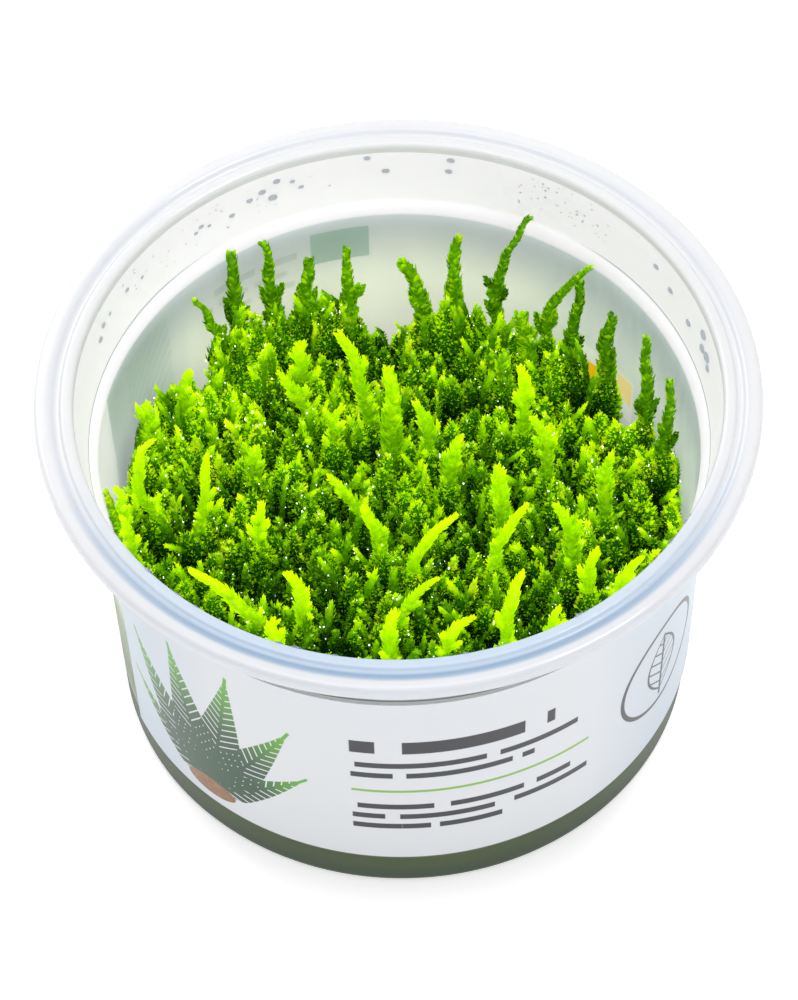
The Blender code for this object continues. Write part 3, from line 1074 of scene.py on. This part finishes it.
def cover_tree():
    """Covers a surface with small leaves that point outwards and up, a few of them much brighter."""
    graph, given = geometry_graph(
        "leaf cover",
        ("Geometry", "Surface", None),
        ("Object", "Leaf", None),
        ("Float", "Density", 10.0 / MM**2),
        ("Float", "Length", 0.6 * MM),
        ("Float", "Upward", 0.9),
        ("Int", "Seed", 1),
    )
    seed = given["Seed"]
    density = given["Density"] * (0.3 + 0.7 * graph.field("rise"))
    inputs = {"Mesh": given["Surface"], "Density": density, "Seed": seed}
    points = graph.node("GeometryNodeDistributePointsOnFaces", inputs, distribute_method="RANDOM")
    normal = Socket(graph, points.socket.node.outputs["Normal"])
    outward = normal + graph.combined(0.0, 0.0, given["Upward"]) + graph.any_vector(0.55, seed + 1)
    turned_by = {"Rotation": graph.rotation("Z", "Y", outward, graph.any_vector(1.0, seed + 2))}
    speck = graph.maths("POWER", graph.any_number(0.0, 1.0, seed + 3), 4.0)
    points = graph.keep(points, "tone", graph.field("tone") + 0.5 * speck - 0.08)
    size = given["Length"] * graph.any_number(0.6, 1.3, seed + 4)
    leaves = graph.copies(points, graph.object(given["Leaf"]), size, turned_by)
    return graph.outlet(leaves, given["Material"])


def clear_water(graph, tint, glint):
    """Water, with a little light of its own where its glints should show."""
    glow = {"Emission Color": (1.0, 1.0, 0.95), "Emission Strength": glint}
    return graph.gloss(tint, 0.03, {"IOR": 1.33, "Transmission Weight": 1.0, **glow})


def scatter(chance, reach):
    """A flat offset, up to the reach each way."""
    return Vector((chance.uniform(-reach, reach), chance.uniform(-reach, reach), 0))


def inside_tub(point, clear):
    """The point, brought in from the wall where it is nearer than the clear distance."""
    room = inner_radius(point.z) - clear
    across = math.hypot(point.x, point.y)
    scale = min(1, room / across) if across else 1
    return Vector((point.x * scale, point.y * scale, point.z))


def shoot_rings(name):
    """The middle and the half width of each ring of a shoot's solid, from its base to its tip."""
    bm = bmesh.new()
    bm.from_mesh(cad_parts[name].data)
    bmesh.ops.remove_doubles(bm, verts=bm.verts, dist=0.01 * MM)
    bm.normal_update()
    low = min(v.co.z for v in bm.verts) + 1.5 * MM
    base = [face for face in bm.faces if face.normal.z < -0.8 and face.calc_center_median().z < low]
    ring = list(dict.fromkeys(v for face in base for v in face.verts))
    seen = set(ring)
    points, halves = [], []
    while ring:
        centre = sum((v.co for v in ring), Vector()) / len(ring)
        points.append(centre)
        halves.append(max(0.35 * MM, max((v.co - centre).length for v in ring)))
        after = {e.other_vert(v) for v in ring for e in v.link_edges} - seen
        seen |= after
        ring = list(after)
    bm.free()
    return points, halves


def shoot_strand(name, tone, blunt, chance):
    """The strand that follows a shoot's solid, uneven along its way and rooted in the mat."""
    points, halves = shoot_rings(name)
    points[-1] = points[-2].lerp(points[-1], 0.55)
    halves[-2] = max(halves[-2], (0.55 + 0.4 * blunt) * halves[-3])
    halves[-1] = blunt * halves[-2]
    points.insert(0, points[0] + scatter(chance, 0.45 * MM) - Vector((0, 0, 4.5 * MM)))
    halves.insert(0, halves[0])
    for number in range(2, len(points) - 1):
        points[number] += scatter(chance, 0.3 * MM)
        halves[number] *= chance.uniform(0.92, 1.16)
    return Strand(points, halves, tone, Vector((1, 0, 0)))


def leaning_shoot():
    """One more shoot, which leans on the wall at the left edge and has no solid of its own."""
    path = [(191, 39.0, 35.0), (191, 40.3, 41.0), (190.5, 40.9, 45.0), (190, 41.3, 48.5)]
    points = [around(math.radians(bearing), away * MM, height * MM) for bearing, away, height in path]
    return Strand(points, [0.9 * MM, 1.05 * MM, 1.0 * MM, 0.8 * MM], 0.45, Vector((0, 1, 0)))


def branchlet(strand, highest, chance):
    """A short leafy tooth on the side of a strand, which turns up beside it."""
    point, along, half = strand.at(chance.uniform(0.1, highest))
    turn = chance.choice((0, math.pi)) + chance.gauss(0, 0.6)
    outward = around(turn, 1, 0.2).normalized()
    reach = TOOTH_LENGTH * chance.uniform(0.6, 1.25)
    middle = point + (along * 0.6 + outward * 0.5) * reach * 0.5
    end = middle + (along * 0.9 + outward * 0.3) * reach * 0.5
    width = min(0.75 * half, 0.8 * MM)
    points = [inside_tub(p, LEAF_ROOM) for p in (point, middle, end)]
    halves = [0.8 * width, width, 0.6 * width]
    return Strand(points, halves, strand.tone + chance.uniform(-0.16, 0.04), strand.side)


def mat_surface():
    """A function that gives the height of the mat's solid at a spot, or None off its edge."""
    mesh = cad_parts["moss_mat"].data
    solid = BVHTree.FromPolygons([v.co for v in mesh.vertices], [p.vertices for p in mesh.polygons])

    def height(spot):
        hit, _, _, _ = solid.ray_cast(Vector((spot.x, spot.y, TUB_TOP)), Vector((0, 0, -1)))
        return hit.z if hit else None

    return height


def mat_columns(count, radius, ground, chance):
    """Columns at the standing shoots' feet, then bushes, then the mat's own, like a sunflower's seeds."""
    columns = []
    # For each row of shoots: the share of the usual radius, the lift in mm, and the tone
    feet = (("back", 1.2, 0.5, 0.45), ("middle", 1.1, 0.6, 0.55), ("front", 1.1, 0.6, 0.6))
    for row, wide, lift, tone in feet:
        for name in LEAF_NODES[row]:
            low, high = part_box(name)
            head = inside_tub(shoot_rings(name)[0][0], 0.5 * radius)
            head.z += min(lift * MM, 0.3 * (high.z - low.z))
            columns.append(Column(head, wide * radius * chance.uniform(0.85, 1.15), tone))
    # Bushes between the back shoots, lumps at the left edge and the bright bush inside them: bearing,
    # distance and height in mm, share of the usual radius, and tone
    bushes = [
        (44, 35.5, 36.0, 1.3, 0.45), (48, 35.0, 37.0, 1.3, 0.5), (56, 34.0, 36.0, 1.3, 0.55),
        (60, 34.0, 38.0, 1.4, 0.6), (71, 35.5, 36.0, 1.3, 0.45), (75, 35.5, 38.5, 1.4, 0.45),
        (80, 36.0, 34.5, 1.3, 0.4), (85, 36.0, 34.5, 1.3, 0.5), (102, 36.0, 36.0, 1.3, 0.45),
        (106, 36.0, 38.5, 1.5, 0.5), (112, 36.0, 38.0, 1.5, 0.42), (118, 36.0, 37.5, 1.5, 0.5),
        (124, 36.0, 39.0, 1.5, 0.42), (129, 36.0, 41.0, 1.5, 0.5), (134, 36.5, 40.0, 1.5, 0.45),
        (127, 33.0, 38.0, 1.4, 0.6), (141, 36.5, 35.5, 1.2, 0.6), (146, 37.5, 36.0, 1.2, 0.5),
        (150, 37.5, 37.0, 1.2, 0.5), (155, 38.0, 38.0, 1.2, 0.5), (160, 38.3, 37.0, 1.2, 0.45),
        (166, 38.5, 36.0, 1.2, 0.45), (172, 38.5, 35.0, 1.2, 0.5), (138, 34.0, 35.0, 1.3, 0.7),
        (144, 34.0, 35.5, 1.3, 0.72), (150, 34.0, 35.5, 1.3, 0.72), (157, 34.5, 35.0, 1.3, 0.72),
        (163, 35.0, 34.0, 1.3, 0.7),
    ]
    for bearing, away, height, wide, tone in bushes:
        for lowered in (0, 1.2, 2.4):
            angle = math.radians(bearing + chance.uniform(-2.6, 2.6))
            head = around(angle, (away + chance.uniform(-1.6, 0.8)) * MM, (height - lowered) * MM)
            tuft = wide * radius * chance.uniform(0.6, 0.85)
            columns.append(Column(head, tuft, tone + chance.uniform(-0.14, 0.14)))
    for number in range(count):
        away = MAT_REACH * math.sqrt((number + 0.5) / count)
        head = around(number * GOLDEN_ANGLE, away, 0) + scatter(chance, 1.3 * MM)
        top = ground(head)
        if top is None:
            continue
        patch = noise.noise(head / (7 * MM))
        gap = max(0, noise.noise(Vector((head.x, head.y, 30 * MM)) / (4.5 * MM)) - 0.12)
        sunlit = 0.15 * (head.y + abs(head.x) + 0.35 * head.x) / (40 * MM)
        head.z = top + chance.uniform(-2.4, 1.1) * MM - gap * 13 * MM
        # Columns sunk in the gaps get a lower tone, as painted shade
        tone = 0.44 + 0.42 * patch - 0.4 * gap + sunlit + chance.uniform(-0.14, 0.14)
        columns.append(Column(head, radius * chance.uniform(0.7, 1.25), tone))
    return columns


def mat_top(columns, depth, ground):
    """A function that gives the height of the columns at a spot, how far up it is, and their tone."""
    near = KDTree(len(columns))
    for number, column in enumerate(columns):
        near.insert((column.head.x, column.head.y, 0), number)
    near.balance()

    def at(spot):
        solid = ground(spot) or MAT_LOW + depth
        highest = solid - depth
        tone = 0.3
        for _, number, away in near.find_range((spot.x, spot.y, 0), COLUMN_SEARCH):
            column = columns[number]
            if column.head.z <= highest:
                continue
            uneven = 1 + 0.4 * noise.noise(Vector((spot.x / MM, spot.y / MM, number)))
            top = column.head.z - depth * (away * uneven / column.radius) ** 1.7
            if top > highest:
                highest, tone = top, column.tone
        rise = min(1, (highest - solid + depth) / depth)
        lump = 0.5 * MM * noise.noise(Vector((spot.x, spot.y, highest)) / (0.9 * MM))
        return highest + lump, rise, tone

    return at


def mat_shell(at, ground):
    """The mat as a closed shell: its points, top faces and other faces, and each point's rise and tone."""
    points, rises, tones, tops = [], [], [], []

    def add(spot, lower):
        height, rise, tone = at(spot)
        points.append(Vector((spot.x, spot.y, height - lower)))
        rises.append(rise)
        tones.append(tone)

    edges = []
    for spoke in range(MAT_SPOKES):
        angle = 2 * math.pi * spoke / MAT_SPOKES
        away = MAT_EDGE
        while ground(around(angle, away, 0)) is None:
            away -= 0.1 * MM
        edges.append(around(angle, away, 0))
    add(Vector(), 0)
    for ring in range(1, MAT_RINGS + 1):
        share = ring / MAT_RINGS
        lower = 3.0 * MM * max(0, (share - 0.96) / 0.04) ** 2
        first = len(points)
        for edge in edges:
            add(edge * share, lower)
        for spoke in range(MAT_SPOKES):
            after = (spoke + 1) % MAT_SPOKES
            if ring == 1:
                tops.append((0, first + spoke, first + after))
            else:
                before = first - MAT_SPOKES
                tops.append((before + spoke, first + spoke, first + after, before + after))
    foot = len(points)
    last = foot - MAT_SPOKES
    points += [Vector((edge.x, edge.y, MAT_LOW)) for edge in edges]
    rises += [0.0] * MAT_SPOKES
    tones += [0.2] * MAT_SPOKES
    others = [tuple(foot + spoke for spoke in reversed(range(MAT_SPOKES)))]
    for spoke in range(MAT_SPOKES):
        after = (spoke + 1) % MAT_SPOKES
        others.append((last + spoke, foot + spoke, foot + after, last + after))
    return points, tops, others, {"rise": rises, "tone": tones}


def quartered(points, faces):
    """The faces in four groups, by the side of the tub that they lie on."""
    groups = {"right": [], "back": [], "left": [], "front": []}
    for face in faces:
        middle = points[face[0]] + points[face[1]] + points[face[2]]
        bearing = math.degrees(math.atan2(middle.y, middle.x))
        groups[list(groups)[int((bearing + 45) % 360 // 90)]].append(face)
    return groups


def sprigs(at, ground, columns, each, length, half, stand, chance):
    """Short shoots on the columns' heads: the fewest and the most on each, and one more on a tall one."""
    strands = []
    for column in columns:
        more = 1 if column.head.z > TALL_COLUMN else 0
        for _ in range(chance.randint(*each) + more):
            turn = chance.uniform(0, 2 * math.pi)
            outward = around(turn, 1, 0)
            tip = column.head + outward * (column.radius * chance.uniform(0.0, 0.55))
            tall = length * chance.uniform(0.75, 1.0)
            tip.z = at(tip)[0] + chance.uniform(*stand) * MM
            lean = Vector((chance.gauss(0, 0.15), chance.gauss(0, 0.15), 1.0))
            upright = (lean + outward * 0.3).normalized()
            points = []
            for step in range(4):
                back = 1 - step / 3
                point = tip - upright * tall * back - outward * (0.15 * tall * back * back)
                points.append(inside_tub(point, LEAF_ROOM))
            width = half * chance.uniform(0.75, 1.15)
            tone = column.tone + chance.uniform(0.0, 0.32)
            foot = points[0]
            if ground(foot) is not None:
                foot.z = min(foot.z, at(foot)[0] - 0.4 * MM)
                halves = [width, width, width * 0.95, width * 0.6]
                strands.append(Strand(points, halves, tone, around(turn + 1.5, 1, 0)))
    return strands


def moss_green(graph, settings, foot, warmth):
    """Wet leaves lit through, with a painted glow: darker at their foot, where their tone is this share,
    partly as older leaves and partly as painted shade, with warm patches.
    """
    vector = graph.place()
    # The tone falls towards the foot of each stem, partly for its older leaves and partly as painted shade
    # deep in the moss
    tone = graph.attribute("tone") * (foot + (1 - foot) * graph.attribute("rise"))
    fleck = graph.noise(vector, 1300.0, 0.0)
    value = tone + 0.18 * graph.attribute("along") + 0.25 * (fleck - 0.5)
    stops = ((0.10, settings.shade), (0.34, settings.leaf), (0.60, settings.young), (0.85, settings.tip))
    greens = graph.ramp(value, *stops)
    warm = graph.step(graph.noise(vector, 210.0, 1.0), 0.58, 0.70) * graph.step(value, 0.3, 0.55)
    colour = graph.blend(warm * warmth, greens, (0.92, 0.90, 0.03))
    # Painted glow: the leaves give off light of their own colour, standing in for light let through them
    more = {"Specular IOR Level": 0.25, "Emission Color": colour, "Emission Strength": 0.36}
    return graph.half_clear(graph.gloss(colour, 0.25, more), colour)


def bed_green(graph):
    """The body of the mat between its leaves: dark in the gaps as painted shade, speckled on the heads of
    the columns.
    """
    clump = graph.noise(graph.place(), 1800.0, 3.0)
    value = 0.55 * clump + 0.72 * graph.attribute("rise") * graph.attribute("tone")
    stops = ((0.3, (0.003, 0.02, 0.0005)), (0.5, (0.02, 0.12, 0.001)), (0.8, (0.10, 0.38, 0.003)))
    colour = graph.ramp(value, *stops)
    return graph.gloss(colour, 0.8, {"Specular IOR Level": 0.05, "Normal": graph.bump(clump, 0.3 * MM)})


class MossMat(bpy.types.Operator):
    """Makes the mat: its bushy columns, the small leaves that cover them, and short shoots on their heads"""

    bl_idname = "moss.mat"
    bl_label = "Moss mat"

    def execute(self, context):
        settings = context.scene.moss_plant
        chance = random.Random(11)
        ground = mat_surface()
        columns = mat_columns(settings.columns, settings.column_radius, ground, chance)
        at = mat_top(columns, settings.column_depth, ground)
        points, tops, others, numbers = mat_shell(at, ground)
        bed = point_object("moss_bed", points, [], tops + others, numbers)
        bed.data.shade_smooth()
        bed.data.materials.append(finish("moss bed", bed_green))
        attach(bed, "root")
        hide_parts("moss_mat")

        leaf = leaf_object("small leaf", keeled_leaf(0.27, 0.12))
        green = {"Material": finish("mat green", moss_green, settings, 0.15, 0.5)}
        density = settings.leaf_density / MM**2
        tree = cover_tree()
        for number, (quarter, faces) in enumerate(quartered(points, tops).items()):
            surface = point_object(f"mat_leaves_{quarter}", points, [], faces, numbers)
            values = {"Leaf": leaf, "Density": density, "Length": settings.leaf_length, "Seed": 10 * number}
            grown_piece(surface, tree, {**values, **green})

        tree = leafy_tree()
        fine = sprigs(at, ground, columns, (0, 2), 4.2 * MM, 0.55 * MM, (0.6, 2.8), chance)
        values = {
            "Leaf": leaf, "Leaf Spacing": 0.18 * MM, "Leaf Reach": 1.35, "Leaf Foot": 0.3, "Seed": 50,
            "Opening": math.radians(40), "Core Share": 0.4, "Core Spacing": 2.0 * MM, "Core Sides": 3,
        }
        grown_piece(strand_object("mat_sprigs", fine), tree, {**values, **green})
        bpy.data.objects.remove(leaf)

        leaf = leaf_object("lobe leaf", broad_leaf([(0.0, 0.0), (0.38, 0.26), (1.0, 0.0)], 0.12))
        lobes = sprigs(at, ground, columns, (0, 1), 5.4 * MM, 0.85 * MM, (1.2, 3.9), chance)
        values = {
            "Leaf": leaf, "Leaf Spacing": 0.21 * MM, "Leaf Reach": 1.35, "Leaf Foot": 0.4, "Seed": 60,
            "Opening": math.radians(26), "Core Share": 0.55, "Core Spacing": 1.5 * MM, "Core Sides": 5,
        }
        grown_piece(strand_object("mat_lobes", lobes), tree, {**values, **green})
        bpy.data.objects.remove(leaf)

        values = {
            "Step": 0.6 * MM, "Chance": 0.13, "Smallest": 0.04 * MM, "Largest": 0.15 * MM, "Seed": 3,
            "Material": finish("dew", clear_water, (1, 1, 1), 0.9),
        }
        grown_piece(strand_object("dew", fine + lobes), dew_tree(), values)
        return {"FINISHED"}


class MossShoots(bpy.types.Operator):
    """Makes the standing shoots at the back, in the middle and at the front"""

    bl_idname = "moss.shoots"
    bl_label = "Standing shoots"

    def execute(self, context):
        settings = context.scene.moss_plant
        outline = [(0.0, 0.0), (0.3, 0.30), (0.66, 0.22), (1.0, 0.0)]
        pointed = leaf_object("pointed leaf", broad_leaf(outline, 0.10))
        outline = [(0.0, 0.0), (0.3, 0.38), (0.75, 0.32), (1.0, 0.0)]
        scale = leaf_object("scale leaf", broad_leaf(outline, 0.14))
        tree = leafy_tree()
        chance = random.Random(5)
        # For each row: its leaf, tone, tone spread, tone at the foot, warmth, leaf reach and opening, how
        # blunt the tips are, how many teeth stand on each shoot and how far up it they reach
        # The rows' tones differ partly as their greens do and partly as painted light: the back row is
        # painted shaded, the front rows lit
        rows = {
            "back": (scale, 0.38, 0.16, 0.75, 0.45, 1.1, math.radians(26), 0.8, (5, 8), 0.35),
            "middle": (pointed, 0.86, 0.16, 0.4, 0.1, 1.2, math.radians(29), 0.5, (2, 5), 0.5),
            "front": (pointed, 0.96, 0.12, 0.45, 0.1, 1.2, math.radians(24), 0.5, (2, 4), 0.5),
        }
        for number, (row, looks) in enumerate(rows.items()):
            leaf, tone, spread, foot, warmth, reach, opening, blunt, teeth, highest = looks
            nodes = LEAF_NODES[row]
            strands = [leaning_shoot()] if row == "back" else []
            for node in nodes:
                strand = shoot_strand(node, tone + chance.uniform(-0.08, 0.08), blunt, chance)
                strands.append(strand)
                strands += [branchlet(strand, highest, chance) for _ in range(chance.randint(*teeth))]
            values = {
                "Leaf": leaf, "Leaf Spacing": settings.leaf_spacing, "Leaf Reach": reach, "Leaf Foot": 0.45,
                "Opening": opening, "Tip Closing": 0.5, "Tone Spread": spread, "Core Share": 0.6,
                "Core Spacing": 0.8 * MM, "Core Sides": 6, "Seed": 20 + number,
                "Material": finish(f"{row} green", moss_green, settings, foot, warmth),
            }
            bare = strand_object(f"leafy_{row}_shoots", strands)
            shoots = grown_piece(bare, tree, values)
            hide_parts(*nodes)
        for leaf in (pointed, scale):
            bpy.data.objects.remove(leaf)
        return {"FINISHED"}


# Water


def drop_places(chance):
    """Where water hangs on the wall above the ledge and on the brim's front bead, and how large it is."""
    # Each run of drops: first and last bearing, lowest and highest place, how many, and their radii in mm
    runs = [
        (107, 131, 55.0, 58.0, 10, 0.35, 0.75),
        (140, 172, 54.5, 57.0, 5, 0.35, 0.6),
        (76, 98, 56.0, 59.0, 4, 0.4, 0.7),
        (9, 36, 54.0, 57.5, 7, 0.5, 1.0),
        (46, 66, 53.5, 59.0, 46, 0.08, 0.22),
        (100, 150, 53.0, 58.5, 30, 0.08, 0.2),
    ]
    on_bead = 16
    places, sizes = [], []
    for first, last, low, high, count, smallest, largest in runs:
        for _ in range(count):
            height = chance.uniform(low, high) * MM
            angle = math.radians(chance.uniform(first, last))
            places.append(around(angle, upper_radius(height) - 0.05 * MM, height))
            sizes.append(chance.uniform(smallest, largest) * MM)
    for _ in range(on_bead):
        angle = math.radians(chance.uniform(-155, -30))
        places.append(around(angle, BRIM_RADIUS - 5.3 * MM, TUB_TOP - 0.7 * MM))
        sizes.append(chance.uniform(0.35, 0.85) * MM)
    return places, sizes


def drop_tree():
    """Sets a flattened drop at each place, with its flat side to the wall."""
    graph, given = geometry_graph(
        "drops",
        ("Geometry", "Places", None),
        ("Float", "Flatness", 0.45),
        ("Float", "Tallness", 0.7),
    )
    outward = graph.node("GeometryNodeInputPosition") * (1.0, 1.0, 0.0)
    turned_by = {"Rotation": graph.rotation("X", "Z", outward, (0.0, 0.0, 1.0))}
    points = graph.node("GeometryNodeMeshToPoints", {"Mesh": given["Places"]})
    shape = graph.combined(given["Flatness"], 1.0, given["Tallness"])
    drops = graph.copies(points, graph.bead(3), shape * graph.field("size"), turned_by)
    return graph.outlet(drops, given["Material"])


class MossWater(bpy.types.Operator):
    """Makes the drops of water on the inner wall and on the brim's front bead"""

    bl_idname = "moss.water"
    bl_label = "Water drops"

    def execute(self, context):
        places, sizes = drop_places(random.Random(8))
        drops = point_object("water_drops", places, [], [], {"size": sizes})
        water = finish("hanging water", clear_water, context.scene.moss_tub.water, 0.0)
        grown_piece(drops, drop_tree(), {"Material": water})
        return {"FINISHED"}


class MossPanel(bpy.types.Panel):
    """Lists the steps that build the tub and its moss"""

    bl_label = "Moss clump"
    bl_idname = "VIEW3D_PT_moss_clump"
    bl_space_type = "VIEW_3D"
    bl_region_type = "UI"
    bl_category = "Moss"

    def draw(self, context):
        for step in STEPS:
            self.layout.operator(step.bl_idname)
        for settings in (context.scene.moss_tub, context.scene.moss_plant):
            for name in settings.__annotations__:
                self.layout.prop(settings, name)


STEPS = [MossStage, MossTub, MossLabel, MossGel, MossMat, MossShoots, MossWater]
CLASSES = [MossTubSettings, MossPlantSettings, *STEPS, MossPanel]


def register():
    for cls in CLASSES:
        bpy.utils.register_class(cls)
    bpy.types.Scene.moss_tub = PointerProperty(type=MossTubSettings)
    bpy.types.Scene.moss_plant = PointerProperty(type=MossPlantSettings)


def unregister():
    del bpy.types.Scene.moss_plant
    del bpy.types.Scene.moss_tub
    for cls in reversed(CLASSES):
        bpy.utils.unregister_class(cls)


def main():
    register()
    bpy.ops.moss.stage()
    bpy.ops.moss.tub()
    bpy.ops.moss.label()
    bpy.ops.moss.gel()
    bpy.ops.moss.mat()
    bpy.ops.moss.shoots()
    bpy.ops.moss.water()


if __name__ == "__main__":
    main()
